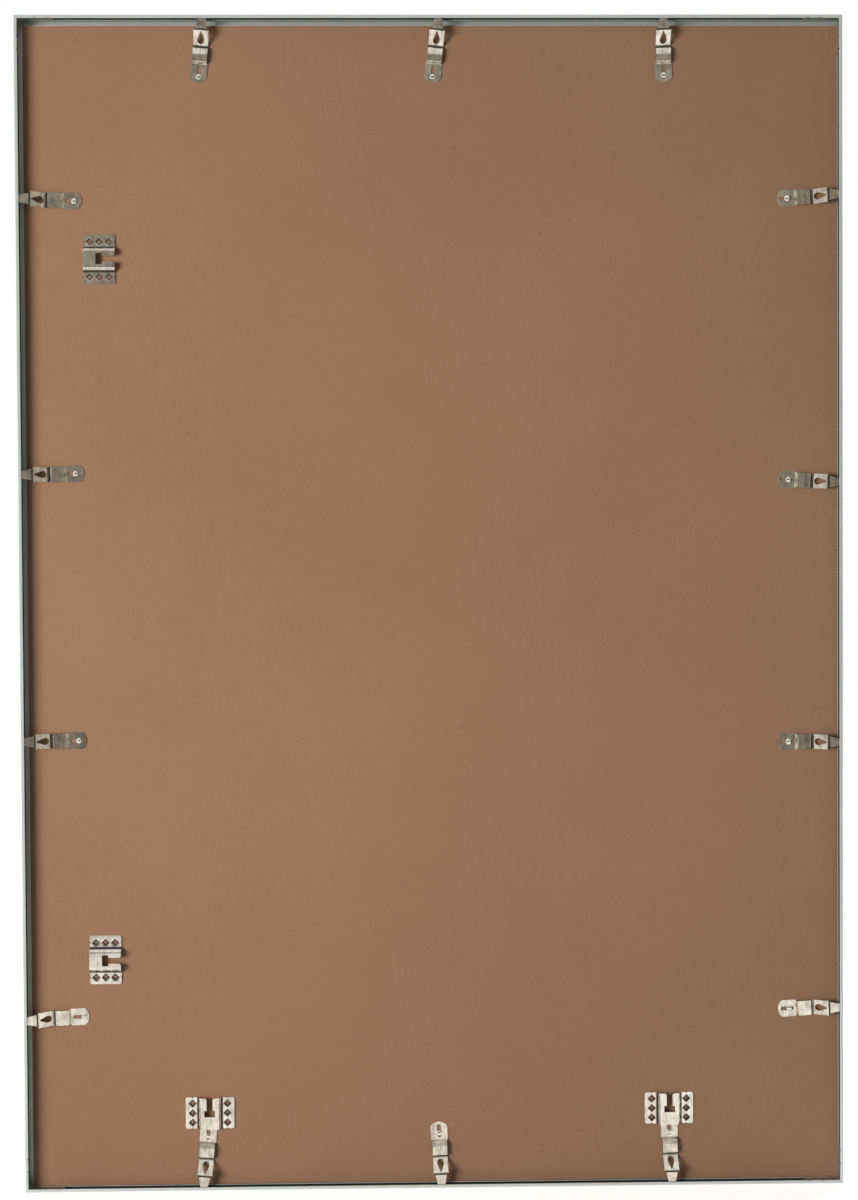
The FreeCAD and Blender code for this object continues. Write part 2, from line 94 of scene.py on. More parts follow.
lens = bpy.data.cameras.new("camera")
lens.sensor_width = SENSOR
lens.lens = SENSOR * FOCAL_PIXELS / PHOTO_HEIGHT
camera = bpy.data.objects.new("camera", lens)
bpy.context.scene.collection.objects.link(camera)
aim = Matrix.Translation(CAMERA_AT)
for axis, degrees in CAMERA_TURNS.items():
    aim = aim @ Matrix.Rotation(math.radians(degrees), 4, axis)
camera.matrix_world = aim @ Matrix.Rotation(math.radians(90), 4, "X")
bpy.context.scene.camera = camera
print("lens", round(lens.lens, 2), "mm, distance", round(-CAMERA_AT.y, 3), "m")

# %% [markdown]
# Shader maths reads best as plain sums, such as 0.3 + 0.1 * noise. Blender builds sums out of Math
# nodes, so the small class below does it for us: a Wire holds one output socket, and each operator
# adds the Math node that it stands for. Everything that isn't arithmetic comes from one method,
# node, which takes the node's type, its settings and the values or links of its sockets.

# %% A wire that can stand in a sum
class Wire:
    """An output socket of a material's node tree. Sums of wires add Math nodes."""

    def __init__(self, tree, socket):
        self.tree, self.socket = tree, socket

    def node(self, kind, settings=None, sockets=None):
        """Any other node. Its settings, which are attributes of the node, are set first. Then each
        socket, by name or number, gets its value or link. Returns the first output."""
        made = self.tree.nodes.new(kind)
        for key, value in (settings or {}).items():
            setattr(made, key, value)
        for key, value in (sockets or {}).items():
            socket = made.inputs[key]
            if isinstance(value, Wire):
                self.tree.links.new(value.socket, socket)
            else:
                socket.default_value = value
        return Wire(self.tree, made.outputs[0])

    def output(self, name):
        """Another output of the same node."""
        return Wire(self.tree, self.socket.node.outputs[name])

    def maths(self, operation, *values):
        """A Math node: one sum on the values or links that are given."""
        return self.node("ShaderNodeMath", {"operation": operation}, dict(enumerate(values)))

    def __add__(self, other):
        return self.maths("ADD", self, other)

    def __sub__(self, other):
        return self.maths("SUBTRACT", self, other)

    def __rsub__(self, other):
        return self.maths("SUBTRACT", other, self)

    def __mul__(self, other):
        return self.maths("MULTIPLY", self, other)

    __radd__ = __add__
    __rmul__ = __mul__

    def noise(self, scale, detail=2.0, roughness=0.5):
        """Grey noise from 0 to 1, with so many cells a metre. Detail counts the finer layers in it,
        and roughness is how strong they are."""
        return self.node("ShaderNodeTexNoise", None,
                         {"Vector": self, "Scale": scale, "Detail": detail, "Roughness": roughness})

    def stretched(self, x, y, z):
        """The same place, measured finer or coarser along each direction."""
        return self.node("ShaderNodeVectorMath", {"operation": "MULTIPLY"}, {0: self, 1: (x, y, z)})

    def between(self, low, high):
        """0 where this is low, 1 where it is high, and smooth between them."""
        return self.node("ShaderNodeMapRange", {"interpolation_type": "SMOOTHSTEP"},
                         {"Value": self, "From Min": low, "From Max": high})

    def within(self, ranges, soft):
        """1 where this is inside one of the ranges and 0 outside: a step up at each start less a
        step up at each end, both smooth over soft to each side."""
        return sum(self.between(start - soft, start + soft) - self.between(end - soft, end + soft)
                   for start, end in ranges)

    def blend(self, first, second):
        """The first colour where this is 0 and the second where it is 1. Sockets 6 and 7 of a Mix
        node are its two colours, and output 2 is what they mix to."""
        made = self.node("ShaderNodeMix", {"data_type": "RGBA"},
                         {"Factor": self, 6: first, 7: second})
        return Wire(self.tree, made.socket.node.outputs[2])

    def bump(self, strength, distance):
        """This height as small unevenness of the surface. Distance is in metres."""
        return self.node("ShaderNodeBump", None,
                         {"Strength": strength, "Distance": distance, "Height": self})


print("Wire is ready")

# %% [markdown]
# Every finish starts in the same way: an empty node tree with a Principled shader, and a wire that
# carries the place on the object. Object coordinates are in metres and stay with the piece when it
# moves, so a scratch stays where it is. Rails, clips and hangers also bring a UV map in metres,
# because the lines of an extrusion follow the rail, and the painted shade of bends follows the strip.

# %% Start and close a finish
def start_finish(name, map_name=None):
    """A new material, and the wire of its place: Object coordinates, or a UV map in metres."""
    material = bpy.data.materials.new(name)
    material.use_nodes = True
    tree = material.node_tree
    tree.nodes.clear()
    output = tree.nodes.new("ShaderNodeOutputMaterial")
    first = Wire(tree, None)
    if map_name:
        place = first.node("ShaderNodeUVMap", {"uv_map": map_name})
    else:
        place = first.node("ShaderNodeTexCoord").output("Object")
    return material, place, output


def principled(place, output, sockets):
    """One Principled shader, linked to the material's output."""
    shader = place.node("ShaderNodeBsdfPrincipled", None, sockets)
    place.tree.links.new(shader.socket, output.inputs["Surface"])


print("finishes can start")

# %% [markdown]
# Hardboard is pressed wood fibre. Its smooth side is warm brown and faintly mottled, because the
# fibres dry in clouds, with a few darker bits of bark. The colour changes at three scales: clouds
# as wide as a hand, flecks of some millimetres, and single fibres. The surface is dull, a little
# shinier where the press has polished it.

# %% Hardboard
BOARD_DARK, BOARD_LIGHT = (0.244, 0.133, 0.076, 1), (0.312, 0.174, 0.102, 1)
BARK_DARK = (0.13, 0.07, 0.04, 1)


def hardboard():
    """Brown between two tones by 0.36 clouds + 0.28 flecks + 0.36 fibres, with dark bits of bark."""
    material, place, output = start_finish("hardboard")
    clouds = place.noise(4, detail=3, roughness=0.55)
    flecks = place.stretched(1, 1, 0.8).noise(330, detail=4, roughness=0.7)
    fibres = place.stretched(1, 1, 2.6).noise(900, detail=3, roughness=0.6)
    bark = place.noise(420, detail=1, roughness=0.4).between(0.70, 0.78)
    tone = 0.36 * clouds + 0.28 * flecks + 0.36 * fibres
    colour = tone.between(0.26, 0.76).blend(BOARD_DARK, BOARD_LIGHT)
    colour = (bark * 0.35).blend(colour, BARK_DARK)
    rough = 0.50 + 0.22 * flecks
    principled(place, output, {
        "Base Color": colour, "Roughness": rough, "Specular IOR Level": 0.35,
        "Normal": (0.6 * fibres + 0.4 * flecks).bump(0.18, 0.0004)})
    return material


HARDBOARD = hardboard()
print("made", HARDBOARD.name)

# %% [markdown]
# Anodised aluminium is etched before it is dyed, which leaves it satin and a little green-grey. The
# die of the extrusion press draws faint lines along the whole rail. The rail's UV map counts metres
# round the profile in U and along the rail in V, so noise that is fine in U and very long in V makes
# those lines. The same map tells which part of the profile is the inside of the channel. There the
# colour is painted nearly black, rougher and hardly metallic: painted shade of the deep channel.

# %% Anodised aluminium
DULL_ALUMINIUM, BRIGHT_ALUMINIUM = (0.55, 0.60, 0.56, 1), (0.68, 0.72, 0.68, 1)
# Colour of the painted shade inside the rail's channel.
INSIDE_PAINTED_SHADE = (0.016, 0.022, 0.019, 1)
INSIDE_RAIL = ((0.0096, 0.01885), (0.0204, 0.0282))
INSIDE_SOFT = 0.0002


def anodised():
    """Grey between two tones by 0.55 lines + 0.45 patches. Inside the rail the colour is painted
    nearly black and hardly a metal any more: painted shade of the channel."""
    material, place, output = start_finish("frame_aluminium", "profile")
    lines = place.stretched(5200, 6, 1).noise(1, detail=3, roughness=0.6)
    patches = place.stretched(60, 9, 1).noise(1, detail=3)
    grain = place.stretched(3000, 3000, 1).noise(1, detail=1)
    tone = 0.55 * lines + 0.45 * patches
    colour = tone.between(0.25, 0.75).blend(DULL_ALUMINIUM, BRIGHT_ALUMINIUM)
    around = place.node("ShaderNodeSeparateXYZ", None, {0: place})
    # Painted shade: inside the channel the colour goes nearly black, rougher and hardly metallic.
    inside = around.within(INSIDE_RAIL, INSIDE_SOFT)
    colour = (inside * (0.96 + 0.04 * patches)).blend(colour, INSIDE_PAINTED_SHADE)
    rough = 0.36 + 0.10 * patches + 0.08 * lines + 0.30 * inside
    principled(place, output, {
        "Base Color": colour, "Metallic": 0.55 - 0.50 * inside, "Roughness": rough,
        "Specular IOR Level": 0.05, "Normal": (0.7 * lines + 0.3 * grain).bump(0.12, 0.0001)})
    return material


ANODISED = anodised()
print("made", ANODISED.name)

# %% [markdown]
# The other metals are bright steel with a thin plating: nickel on the springs, zinc on the hangers
# and in the corners. Rolling leaves fine streaks, handling leaves short scratches, and the plating
# dulls in clouds. Where the sheet was bent, the colour is painted dark and a little rougher: painted
# shade in the creases. The recipe takes the colours of the plating, how rough it is, and the bends as
# places along the strip, which it reads from the piece's own UV map. The pierced squares of the
# hangers get the same painted shade, within half a millimetre of their rims. The corner brackets
# get colours much darker than the hangers' zinc: painted shade of the channel they sit in.

# %% Plated steel
# Colour of the painted shade in the bends and round the pierced squares.
PAINTED_SHADE_DARK = (0.035, 0.029, 0.024, 1)
PAINTED_SHADE_SOFT = 0.0003


def plated(name, dull, bright, rough, streak_scale, scratch_share, dent=0.10, bends=(),
           pierced=None):
    """Plated steel: base colour between dull and bright, with streaks, clouds and scratches. Bends
    get painted shade, dark and rougher, between each (start, end) in metres along the piece.
    Pierced squares get painted shade within their half diagonal, given with their place along the
    piece and their pitch across it."""
    material, place, output = start_finish(name)
    clouds = place.noise(140, detail=5, roughness=0.65)
    streaks = place.stretched(streak_scale, 1, 0.12 * streak_scale).noise(10, detail=3, roughness=0.65)
    scratches = place.stretched(1, 1, 9).noise(900).between(0.66, 0.74)
    crossing = place.stretched(9, 1, 1).noise(700).between(0.67, 0.75)
    marks = scratches + crossing
    tone = 0.6 * clouds + 0.4 * streaks
    colour = tone.between(0.34, 0.66).blend(dull, bright)
    finish = rough + 0.16 * clouds + scratch_share * marks
    if bends:
        strip = place.node("ShaderNodeUVMap", {"uv_map": "profile"})
        parts = strip.node("ShaderNodeSeparateXYZ", None, {0: strip})
        along = parts.maths("ABSOLUTE", parts)
        # Painted shade: the bends and the rims of the pierced squares are coloured dark and made rougher.
        dark = along.within(bends, PAINTED_SHADE_SOFT)
        if pierced:
            half_diagonal, burr_at, pitch = pierced
            off = along - burr_at
            beside = parts.maths("PINGPONG", parts.output("Y"), pitch / 2)
            from_middle = off.maths("ABSOLUTE", off) + beside
            outside = from_middle.between(half_diagonal - PAINTED_SHADE_SOFT, half_diagonal + PAINTED_SHADE_SOFT)
            dark = dark.maths("MAXIMUM", dark, 1 - outside)
        colour = (dark * (0.88 + 0.12 * clouds)).blend(colour, PAINTED_SHADE_DARK)
        finish = finish + 0.12 * dark
    principled(place, output, {
        "Base Color": colour, "Metallic": 1.0, "Roughness": finish - 0.08,
        "Normal": (0.5 * streaks + 0.5 * clouds - 0.6 * marks).bump(dent, 0.00012)})
    return material


# Places along the strip with painted shade: the clip's valley and the step after its peak, and the foot
# of each slope down to the hanger's wings.
SPRING_BENDS = ((0.0284, 0.0304), (0.0422, 0.0439))
HANGER_FEET = ((0.0090, 0.0110),)
BURR_MID, BURR_AT, BURR_PITCH = 3.25, 15.0, 8.25
# How far the painted shade reaches past the rim of each pierced square, in mm.
DARK_RING = 0.5
HANGER_SQUARES = ((BURR_MID + DARK_RING) * MM, BURR_AT * MM, BURR_PITCH * MM)
SPRING = plated("spring_steel", dull=(0.42, 0.38, 0.32, 1), bright=(0.86, 0.80, 0.69, 1), rough=0.17,
                streak_scale=60, scratch_share=0.16, dent=0.45, bends=SPRING_BENDS)
RIVET = plated("rivet_steel", dull=(0.62, 0.59, 0.54, 1), bright=(0.88, 0.86, 0.81, 1), rough=0.13,
               streak_scale=40, scratch_share=0.12)
HANGER = plated("hanger_steel", dull=(0.56, 0.51, 0.44, 1), bright=(0.93, 0.88, 0.78, 1), rough=0.18,
                streak_scale=50, scratch_share=0.18, dent=0.45, bends=HANGER_FEET,
                pierced=HANGER_SQUARES)
# Zinc as on the hangers, but with colours painted much darker: painted shade of the channel that the
# brackets sit in.
SHADED_BRACKET = plated("bracket_steel", dull=(0.22, 0.23, 0.23, 1), bright=(0.50, 0.51, 0.51, 1), rough=0.30,
                 streak_scale=30, scratch_share=0.10)
print("made", [material.name for material in (SPRING, RIVET, HANGER, SHADED_BRACKET)])

# %% [markdown]
# The sheet between board and glass is plain white card, with the faint tooth of its fibres. Window
# glass is clear from the front and mirror-like at a slant. A Mix shader makes it, between a
# see-through shader and a polished one. Its factor is the share that the glass mirrors: 4 percent
# straight on, and the rest grows with the fifth power of how far the face turns away, which Layer
# Weight tells. A Fresnel node fits a solid lump of glass, but here the see-through shader doesn't
# bend the rays, and the far face of the pane would turn into a full mirror beyond 42 degrees.

# %% White card and clear glass
def white_card():
    """White between two tones by 0.6 clouds + 0.4 tooth."""
    material, place, output = start_finish("white_card")
    tooth = place.noise(1500, detail=3, roughness=0.6)
    clouds = place.noise(12)
    colour = (0.6 * clouds + 0.4 * tooth).blend((0.80, 0.80, 0.77, 1), (0.88, 0.88, 0.86, 1))
    principled(place, output, {"Base Color": colour, "Roughness": 0.6 + 0.15 * tooth,
                               "Normal": tooth.bump(0.1, 0.0001)})
    return material


def clear_glass():
    """See-through, but for a mirrored share of 0.04 + 0.96 times (how far it faces away) to the
    fifth power."""
    material, place, output = start_finish("clear_glass")
    wipes = place.noise(3, detail=1)
    gloss = place.node("ShaderNodeBsdfPrincipled", None, {
        "Base Color": (0.95, 0.97, 0.96, 1), "Metallic": 1.0, "Roughness": 0.05 + 0.03 * wipes})
    clear = place.node("ShaderNodeBsdfTransparent", None, {"Color": (0.990, 0.997, 0.993, 1)})
    turned_away = place.node("ShaderNodeLayerWeight", None, {"Blend": 0.5}).output("Facing")
    mirrored = 0.04 + 0.96 * turned_away.maths("POWER", turned_away, 5)
    pane = place.node("ShaderNodeMixShader", None, {0: mirrored, 1: clear, 2: gloss})
    place.tree.links.new(pane.socket, output.inputs["Surface"])
    return material


CARD = white_card()
GLASS = clear_glass()
print("made", CARD.name, GLASS.name)

# %% [markdown]
# The flat pieces keep their CAD meshes, so a finish goes straight into their material slot.

# %% Finishes of the CAD pieces
CAD_FINISHES = {"back_board": HARDBOARD, "blank_sheet": CARD, "glass": GLASS}
CAD_FINISHES.update({name: SHADED_BRACKET for name in frame["nodes"] if name.startswith("corner_bracket")})
for name, material in CAD_FINISHES.items():
    mesh = frame["nodes"][name].data
    mesh.materials.clear()
    mesh.materials.append(material)
print("finished CAD pieces:", len(CAD_FINISHES))

# %% [markdown]
# New pieces are grids: points in rows and columns, and a quad between each four neighbours. The
# helper below numbers the corners of the quads, and make_piece puts points and quads into a mesh and
# welds points that meet; attach then hands the piece to its body. The weld also closes seams, and a
# quad with two corners in one place becomes a triangle.

# %% Grid and mesh helpers
WELD = 2e-6
WORN_EDGE = 0.09


def grid_quads(rows, columns, first=0):
    """Corners of the quads of a grid that is numbered row by row: each point with its neighbour in
    the row and the two beside them in the next row."""
    number = first + np.arange(rows * columns).reshape(rows, columns)
    corners = (number[:-1, :-1], number[:-1, 1:], number[1:, 1:], number[1:, :-1])
    return np.stack(corners, axis=-1).reshape(-1, 4)


def make_piece(name, points, quads, material, uv=None):
    """Mesh object with its points in metres. The uv array has one row for each point."""
    mesh = bpy.data.meshes.new(name)
    mesh.vertices.add(len(points))
    mesh.vertices.foreach_set("co", np.asarray(points, np.float32).ravel())
    mesh.loops.add(quads.size)
    mesh.loops.foreach_set("vertex_index", quads.astype(np.int32).ravel())
    mesh.polygons.add(len(quads))
    mesh.polygons.foreach_set("loop_start", np.arange(0, quads.size, 4, dtype=np.int32))
    mesh.update(calc_edges=True)
    if uv is not None:
        layer = mesh.uv_layers.new(name="profile")
        layer.data.foreach_set("uv", uv[quads.ravel()].astype(np.float32).ravel())
    weld = bmesh.new()
    weld.from_mesh(mesh)
    bmesh.ops.remove_doubles(weld, verts=weld.verts, dist=WELD)
    bmesh.ops.recalc_face_normals(weld, faces=weld.faces)
    weld.to_mesh(mesh)
    weld.free()
    mesh.polygons.foreach_set("use_smooth", np.ones(len(mesh.polygons), bool))
    mesh.materials.append(material)
    piece = bpy.data.objects.new(name, mesh)
    bpy.context.scene.collection.objects.link(piece)
    return piece


def soften(piece, thickness, angle=35):
    """Gives a sheet its thickness, half to each side, then breaks the edges sharper than the angle.
    The thickness is in mm."""
    wall = piece.modifiers.new("thickness", "SOLIDIFY")
    wall.thickness = thickness * MM
    wall.offset = 0
    wall.use_even_offset = True
    rim = piece.modifiers.new("broken_edges", "BEVEL")
    rim.width = WORN_EDGE * MM
    rim.segments = 2
    rim.limit_method = "ANGLE"
    rim.angle_limit = math.radians(angle)
    rim.harden_normals = True


print("helpers are ready")

# %% [markdown]
# Sheet metal is bent over a rounded edge, so every bend is an arc. A path is given by its corners
# and the radius of the bend at each. The helper replaces each corner by points on its arc: the
# arc starts where the radius touches the straight run, a tangent length from the corner.

# %% Paths with rounded corners
def rounded_path(corners, step_degrees=9):
    """Points (a, b) along a path. At each inner corner with radius r and turn t, the arc runs
    between the points r * tan(t / 2) before and after it, about the centre that lies r away from
    both runs."""
    corners = [(np.array(corner[:2], float), corner[2]) for corner in corners]
    points = [corners[0][0]]
    for (before, _), (corner, radius), (after, _) in zip(corners, corners[1:], corners[2:]):
        into = (corner - before) / np.linalg.norm(corner - before)
        out = (after - corner) / np.linalg.norm(after - corner)
        turn = math.atan2(into[0] * out[1] - into[1] * out[0], into @ out)
        if radius == 0 or abs(turn) < 1e-6:
            points.append(corner)
            continue
        to_centre = np.array((-into[1], into[0])) * math.copysign(radius, turn)
        start = corner - into * radius * math.tan(abs(turn) / 2)
        steps = max(2, math.ceil(abs(math.degrees(turn)) / step_degrees))
        angles = np.linspace(0, turn, steps + 1)
        spoke = -to_centre
        arc = start + to_centre + np.stack(
            (spoke[0] * np.cos(angles) - spoke[1] * np.sin(angles),
             spoke[0] * np.sin(angles) + spoke[1] * np.cos(angles)), axis=1)
        points.extend(arc)
    points.append(corners[-1][0])
    return np.array(points)


SAME_PLACE = 0.02


def stations(*groups):
    """Sorted places from several groups, with those closer than SAME_PLACE in mm made one."""
    places = np.sort(np.concatenate([np.atleast_1d(np.asarray(group, float)) for group in groups]))
    return places[np.concatenate(([True], np.diff(places) > SAME_PLACE))]


def eased(start, end, count):
    """Places from start to end that crowd together at the start, as the steps of an arc do: start
    plus the way times 1 less the cosine of a growing angle."""
    return start + (end - start) * (1 - np.cos(np.linspace(0, math.pi / 2, count)))


print("a right-angle bend of radius 1 has", len(rounded_path([(0, 0, 0), (5, 0, 1), (5, 5, 0)])) - 2,
      "points")

# %% [markdown]
# The rails. An aluminium rail is an extrusion: one profile, a slim C with a rear flange, a rib and a
# front lip, pushed through a die and sawn at 45 degrees. It is one closed profile carried along a
# straight path. At the ends each point stops where the saw plane meets it, which is half the length
# less its own depth into the frame. That puts the mitre in exactly, with no cutting.
#
# Close to each corner, two half-round nicks in the edge of the flange hold the corner bracket. There
# the path has more stations, and the flange is drawn back by the height of the nick's circle. The
# ends are open after that, and each is closed by one flat face.

# %% Sizes of the rails
FORMAT_W, FORMAT_H = 700.0, 1000.0
SHEET_PLAY = 1.7
WALL_T = 1.3
OUTSIDE_W = FORMAT_W + 2 * (SHEET_PLAY + WALL_T)
OUTSIDE_H = FORMAT_H + 2 * (SHEET_PLAY + WALL_T)
FLANGE_END = 2.8
FLANGE_T = 1.3
RIB_BACK, RIB_FRONT = 7.9, 8.9
GLASS_FRONT = 15.6
DEPTH = 17.0
LIP_END = 8.0
MITRE_GAP = 0.05
NICK_R = 0.8
NICK_PLACES = (18.0, 29.0)
# A test leaves a hair's room beside a line, so that rounding can't put a point on its wrong side.
HAIR = 0.01
BOARD_BACK = 10.3
SIDES = {"top": (0, 1), "bottom": (0, -1), "left": (-1, 0), "right": (1, 0)}

RAIL_CORNERS = [
    (0, 6, 0), (0, 0, 0.35), (2.0, 0, 0), (FLANGE_END, 0, 0.35), (FLANGE_END, FLANGE_T, 0.15),
    (WALL_T, FLANGE_T, 0.1), (WALL_T, RIB_BACK, 0.1), (FLANGE_END, RIB_BACK, 0.15),
    (FLANGE_END, RIB_FRONT, 0.15), (WALL_T, RIB_FRONT, 0.1), (WALL_T, GLASS_FRONT, 0.1),
    (LIP_END, GLASS_FRONT, 0.25), (LIP_END, DEPTH, 0.4), (0, DEPTH, 0.9), (0, 6, 0)]
rail_profile = rounded_path(RAIL_CORNERS, step_degrees=15)
print("points round the rail's profile:", len(rail_profile))

# %% Carry the profile along each side
def carry_rail(side):
    """Surface of a rail over (profile point, station). A point (u, v) of the profile at station s is
    at outer face - u inward, v forward and s along the side, where s is held inside the mitre
    plane at half the length - half the gap - u."""
    out = np.array((SIDES[side][0], 0, SIDES[side][1]), float)
    inward = -out
    forward = np.array((0, 1.0, 0))
    sideways = np.cross(inward, forward)
    length, half_across = ((OUTSIDE_W, OUTSIDE_H / 2) if out[0] == 0
                           else (OUTSIDE_H, OUTSIDE_W / 2))
    half = length / 2
    around_nick = np.cos(np.linspace(0, math.pi, 11)) * NICK_R
    nicks = [sign * (half - place) for place in NICK_PLACES for sign in (1, -1)]
    along = stations(np.linspace(-half, half, 25), *[nick + around_nick for nick in nicks])
    u, v = rail_profile[:, :1], rail_profile[:, 1:]
    reach = half - MITRE_GAP / 2 - u
    s = np.clip(np.broadcast_to(along, (len(u), len(along))), -reach, reach)
    dent = sum(np.sqrt(np.clip(NICK_R ** 2 - (along - nick) ** 2, 0, None)) for nick in nicks)
    on_flange = (v < FLANGE_T + HAIR) & (u > WALL_T)
    share = np.clip((u - WALL_T) / (FLANGE_END - WALL_T), 0, 1)
    drawn = u - np.where(on_flange, share * dent, 0)
    points = (out * half_across + inward * drawn[..., None] + forward * (v + 0 * s)[..., None]
              + sideways * s[..., None]) * MM
    steps = np.linalg.norm(np.diff(rail_profile, axis=0), axis=1)
    round_profile = np.concatenate(([0], np.cumsum(steps)))
    uv = np.stack((np.broadcast_to(round_profile[:, None], s.shape), s), axis=-1) * MM
    return points, uv


for side in SIDES:
    points, uv = carry_rail(side)
    rows, columns = points.shape[:2]
    piece = make_piece(f"smooth_rail_{side}", points.reshape(-1, 3), grid_quads(rows, columns),
                       ANODISED, uv.reshape(-1, 2))
    cap = bmesh.new()
    cap.from_mesh(piece.data)
    open_edges = [edge for edge in cap.edges if edge.is_boundary]
    bmesh.ops.holes_fill(cap, edges=open_edges, sides=0)
    bmesh.ops.recalc_face_normals(cap, faces=cap.faces)
    cap.to_mesh(piece.data)
    cap.free()
    piece.data.set_sharp_from_angle(angle=math.radians(40))
    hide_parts(f"rail_{side}")
    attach(piece, "frame")
print("rails:", len(SIDES), "of", len(piece.data.polygons), "faces each")

# %% [markdown]
# The spring clips. Each is a strip of spring steel: a flat pad with a slot for the rivet, a ramp up
# to a bowed bridge, down to the board again, up a long plate with a teardrop window, over a peak
# and out along a tapered tongue.
#
# The strip is a surface over (place along it, place across it). The height at each place along
# comes from a path with rounded bends. Across, each half runs from an inner edge to an outer edge.
# The inner edge is the middle line, and moves out round the slot and the window. The outer edge is
# half the width of the outline. Where the inner edges of both halves meet, the weld joins them,
# so holes need no cutting. Solidify then gives the sheet its half millimetre.

# %% Path and outline of the clip
CLIP_T = 0.5
CLIP_GAP = 0.1
PAD_END, RAMP_END, BRIDGE_END, VALLEY, PEAK, STEP, CLIP_L = 15.5, 17.4, 28.3, 30.0, 42.3, 43.9, 52.9
RAMP_RISE, CROWN_RISE, FALL_RISE, PEAK_RISE, STEP_RISE, TIP_RISE = 2.7, 3.5, 2.8, 9.0, 7.9, 8.3
BEND_MID_R, CROWN_R = 0.95, 14.25
ground = CLIP_GAP + CLIP_T / 2

clip_side = rounded_path([
    (0, ground, 0),
    (PAD_END, ground, BEND_MID_R),
    (RAMP_END, ground + RAMP_RISE, BEND_MID_R),
    ((RAMP_END + BRIDGE_END) / 2, ground + CROWN_RISE, CROWN_R),
    (BRIDGE_END, ground + FALL_RISE, BEND_MID_R),
    (VALLEY, ground, BEND_MID_R),
    (PEAK, ground + PEAK_RISE, BEND_MID_R),
    (STEP, ground + STEP_RISE, BEND_MID_R),
    (CLIP_L, ground + TIP_RISE, 0)])

NOSE_R = 9.2
NOSE_TURN = math.radians(46)
HALF_PAD, HALF_STRIP, HALF_EAR, HALF_ROOT, HALF_TIP = 7.2, 6.3, 6.75, 4.8, 3.0
EAR_RUN = 1.8
nose_apex = -NOSE_R * (1 / math.sin(NOSE_TURN) - 1)
nose_angles = np.linspace(0, math.pi / 2 - NOSE_TURN, 12)
nose = np.stack((NOSE_R * (1 - np.cos(nose_angles)), NOSE_R * np.sin(nose_angles)), axis=1)
flank = rounded_path([
    (*nose[-1], 0),
    (nose_apex + HALF_PAD / math.tan(NOSE_TURN), HALF_PAD, 1.2),
    (PAD_END, HALF_PAD, 0.3),
    (PAD_END + HALF_PAD - HALF_STRIP, HALF_STRIP, 0.3),
    (PEAK - EAR_RUN, HALF_STRIP, 0.5),
    (PEAK, HALF_EAR, 0.8),
    (PEAK + HALF_EAR - HALF_ROOT, HALF_ROOT, 0.5),
    (CLIP_L, HALF_TIP, 0.8),
    (CLIP_L, 0, 0)])[1:-1]
clip_flank = np.concatenate((nose, flank))
print("clip path", len(clip_side), "points, outline", len(clip_flank), "points")

# %% Slot and window of the clip
SLOT_START, SLOT_END, SLOT_R = 2.3, 13.7, 1.65
WINDOW_AT, WINDOW_R, WINDOW_TIP_AT, WINDOW_TIP_R = 35.0, 2.95, 40.4, 0.8
# Lines across a clip stand this far apart, and closer for this run past the window's widest place.
LINE_STEP, CLOSE_RUN = 1.3, 1.3
tangent = math.acos((WINDOW_R - WINDOW_TIP_R) / (WINDOW_TIP_AT - WINDOW_AT))


def teardrop_half(a, first, first_r, last, last_r, turn):
    """Half width of a hole at place a: on its first circle the root of r squared less the distance
    from the centre squared, then a straight line between the tangent points, then the last circle.
    Turn is the angle of the tangent points."""
    join = (first + first_r * math.cos(turn), last + last_r * math.cos(turn))
    line = np.interp(a, join, (first_r * math.sin(turn), last_r * math.sin(turn)))
    low = np.sqrt(np.clip(first_r ** 2 - (a - first) ** 2, 0, None))
    high = np.sqrt(np.clip(last_r ** 2 - (a - last) ** 2, 0, None))
    return np.where(a < join[0], low, np.where(a > join[1], high, line))


def clip_sheet():
    """Middle surface of a clip over (place along, place across): (a, b, height of the path at a),
    where b goes from the inner edge to the outer edge on each side of the middle line."""
    a = stations(
        clip_side[:, 0], clip_flank[:, 0], np.arange(1, CLIP_L, LINE_STEP),
        eased(SLOT_START, SLOT_START + SLOT_R, 9), eased(SLOT_END, SLOT_END - SLOT_R, 9),
        eased(WINDOW_AT - WINDOW_R, WINDOW_AT, 11), np.linspace(WINDOW_AT, WINDOW_AT + CLOSE_RUN, 4),
        eased(WINDOW_TIP_AT + WINDOW_TIP_R, WINDOW_TIP_AT, 7))
    outer = np.interp(a, clip_flank[:, 0], clip_flank[:, 1])
    slot = teardrop_half(a, SLOT_START + SLOT_R, SLOT_R, SLOT_END - SLOT_R, SLOT_R, math.pi / 2)
    window = teardrop_half(a, WINDOW_AT, WINDOW_R, WINDOW_TIP_AT, WINDOW_TIP_R, tangent)
    inner = np.where(a < PAD_END, slot, window)
    height = np.interp(a, clip_side[:, 0], clip_side[:, 1])
    across = np.linspace(0, 1, 6)
    b = inner[:, None] + (outer - inner)[:, None] * across
    half = np.stack((np.broadcast_to(a[:, None], b.shape), b,
                     np.broadcast_to(height[:, None], b.shape)), axis=-1)
    return half, half * (1, -1, 1)


clip_halves = clip_sheet()
print("grid of half a clip:", clip_halves[0].shape[:2])

# %% [markdown]
# Each clip sits where its two joints say. The swivel's place is the middle of the rivet on the
# board, and the slide's axis points from the tongue back to the pad. How far the clip can still
# draw back tells where the rivet stands in the slot. With the direction, and with the rear as up,
# one matrix takes the flat clip to its place.

# %% Place of every clip
REAR = np.array((0, -1.0, 0))
joints = {joint["name"]: joint for joint in frame["joints"]}
seats = sorted(name[len("clip_"):-len("_swivel")] for name in joints if name.endswith("_swivel"))


def seat_axes(seat):
    """Place of the rivet in mm, and the clip's own directions as rows: along it, across it, rear."""
    rivet = np.array(joints[f"clip_{seat}_swivel"]["pos_m"]) / MM
    points = -np.array(joints[f"clip_{seat}_slide"]["axis"])
    points /= np.linalg.norm(points)
    return rivet, np.stack((points, np.cross(REAR, points), REAR))


